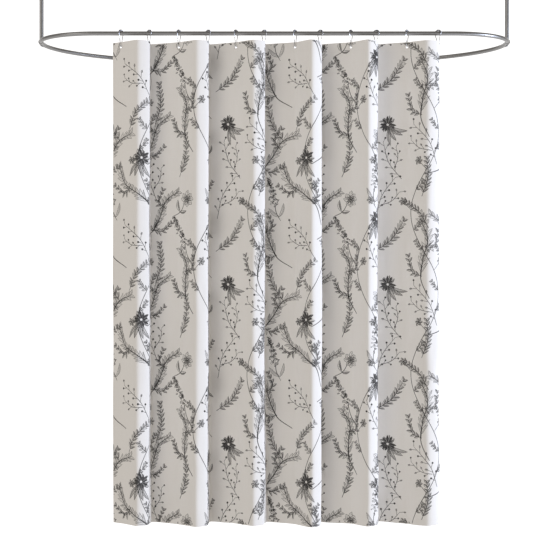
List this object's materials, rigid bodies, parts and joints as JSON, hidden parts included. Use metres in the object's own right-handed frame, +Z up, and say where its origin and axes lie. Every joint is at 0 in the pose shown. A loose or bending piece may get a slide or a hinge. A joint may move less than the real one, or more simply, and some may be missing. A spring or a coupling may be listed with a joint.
{
  "type": "shower curtain",
  "caption": "Printed fabric shower curtain hanging in soft folds by roller-ball rings from an oval rail with two ceiling drop tubes.",
  "frame": {"origin": "on the ceiling, midway between the two ceiling flanges", "axes": "+Z up, +X to the right along the curtain, +Y from the curtain's face back into the oval"},
  "size_m": [1.904, 0.7204, 2.2887],
  "materials": {
    "rail_nickel": "brushed nickel plate",
    "screws": "dark zinc",
    "ring_wire": "polished chrome",
    "roller_balls": "polished chrome",
    "printed_cloth": "matt woven cotton with a dark botanical line print",
    "header_tape": "plain woven tape"
  },
  "bodies": {
    "rail": {"rail_front": "rail_nickel", "rail_back": "rail_nickel", "rail_coupler_left": "rail_nickel", "coupler_set_screw_left_front": "screws", "coupler_set_screw_left_back": "screws", "drop_tube_left": "rail_nickel", "drop_plug_left": "screws", "drop_screw_left": "screws", "ceiling_flange_left": "rail_nickel", "flange_grub_screw_left": "screws", "ceiling_screw_left_1": "screws", "ceiling_screw_left_2": "screws", "ceiling_screw_left_3": "screws", "rail_coupler_right": "rail_nickel", "coupler_set_screw_right_front": "screws", "coupler_set_screw_right_back": "screws", "drop_tube_right": "rail_nickel", "drop_plug_right": "screws", "drop_screw_right": "screws", "ceiling_flange_right": "rail_nickel", "flange_grub_screw_right": "screws", "ceiling_screw_right_1": "screws", "ceiling_screw_right_2": "screws", "ceiling_screw_right_3": "screws"},
    "ring_01": {"ring_wire_01": "ring_wire", "ring_rollers_01": "roller_balls"},
    "ring_02": {"ring_wire_02": "ring_wire", "ring_rollers_02": "roller_balls"},
    "ring_03": {"ring_wire_03": "ring_wire", "ring_rollers_03": "roller_balls"},
    "ring_04": {"ring_wire_04": "ring_wire", "ring_rollers_04": "roller_balls"},
    "ring_05": {"ring_wire_05": "ring_wire", "ring_rollers_05": "roller_balls"},
    "ring_06": {"ring_wire_06": "ring_wire", "ring_rollers_06": "roller_balls"},
    "ring_07": {"ring_wire_07": "ring_wire", "ring_rollers_07": "roller_balls"},
    "ring_08": {"ring_wire_08": "ring_wire", "ring_rollers_08": "roller_balls"},
    "ring_09": {"ring_wire_09": "ring_wire", "ring_rollers_09": "roller_balls"},
    "ring_10": {"ring_wire_10": "ring_wire", "ring_rollers_10": "roller_balls"},
    "ring_11": {"ring_wire_11": "ring_wire", "ring_rollers_11": "roller_balls"},
    "ring_12": {"ring_wire_12": "ring_wire", "ring_rollers_12": "roller_balls"},
    "curtain": {"curtain_panel": "printed_cloth", "header_band": "header_tape"}
  },
  "joints": [
    {"name": "travel", "type": "slide", "parent": "rail", "child": "ring_01", "axis": [1, 0, 0], "range_m": [-0.08, 0.04]},
    {"name": "curtain_swing", "type": "hinge", "parent": "ring_01", "child": "curtain", "pos_m": [-0.58175, -0.19, -0.4497], "axis": [1, 0, 0], "range_deg": [-22, 22]},
    {"name": "draw", "type": "slide", "parent": "ring_01", "child": "ring_12", "axis": [-1, 0, 0], "range_m": [0, 0.915], "deforming": ["curtain_panel", "header_band"]},
    {"name": "gather_02", "type": "slide", "parent": "ring_01", "child": "ring_02", "axis": [-1, 0, 0], "range_m": [0, 0.0814]},
    {"name": "gather_03", "type": "slide", "parent": "ring_01", "child": "ring_03", "axis": [-1, 0, 0], "range_m": [0, 0.1676]},
    {"name": "gather_04", "type": "slide", "parent": "ring_01", "child": "ring_04", "axis": [-1, 0, 0], "range_m": [0, 0.2516]},
    {"name": "gather_05", "type": "slide", "parent": "ring_01", "child": "ring_05", "axis": [-1, 0, 0], "range_m": [0, 0.3325]},
    {"name": "gather_06", "type": "slide", "parent": "ring_01", "child": "ring_06", "axis": [-1, 0, 0], "range_m": [0, 0.4134]},
    {"name": "gather_07", "type": "slide", "parent": "ring_01", "child": "ring_07", "axis": [-1, 0, 0], "range_m": [0, 0.5034]},
    {"name": "gather_08", "type": "slide", "parent": "ring_01", "child": "ring_08", "axis": [-1, 0, 0], "range_m": [0, 0.5752]},
    {"name": "gather_09", "type": "slide", "parent": "ring_01", "child": "ring_09", "axis": [-1, 0, 0], "range_m": [0, 0.6644]},
    {"name": "gather_10", "type": "slide", "parent": "ring_01", "child": "ring_10", "axis": [-1, 0, 0], "range_m": [0, 0.737]},
    {"name": "gather_11", "type": "slide", "parent": "ring_01", "child": "ring_11", "axis": [-1, 0, 0], "range_m": [0, 0.8262]}
  ],
  "couplings": [
    {"joint": "gather_02", "follows": "draw", "ratio": 0.088416},
    {"joint": "gather_03", "follows": "draw", "ratio": 0.18265},
    {"joint": "gather_04", "follows": "draw", "ratio": 0.27439},
    {"joint": "gather_05", "follows": "draw", "ratio": 0.3628},
    {"joint": "gather_06", "follows": "draw", "ratio": 0.45122},
    {"joint": "gather_07", "follows": "draw", "ratio": 0.54961},
    {"joint": "gather_08", "follows": "draw", "ratio": 0.62806},
    {"joint": "gather_09", "follows": "draw", "ratio": 0.72561},
    {"joint": "gather_10", "follows": "draw", "ratio": 0.80489},
    {"joint": "gather_11", "follows": "draw", "ratio": 0.90244}
  ]
}
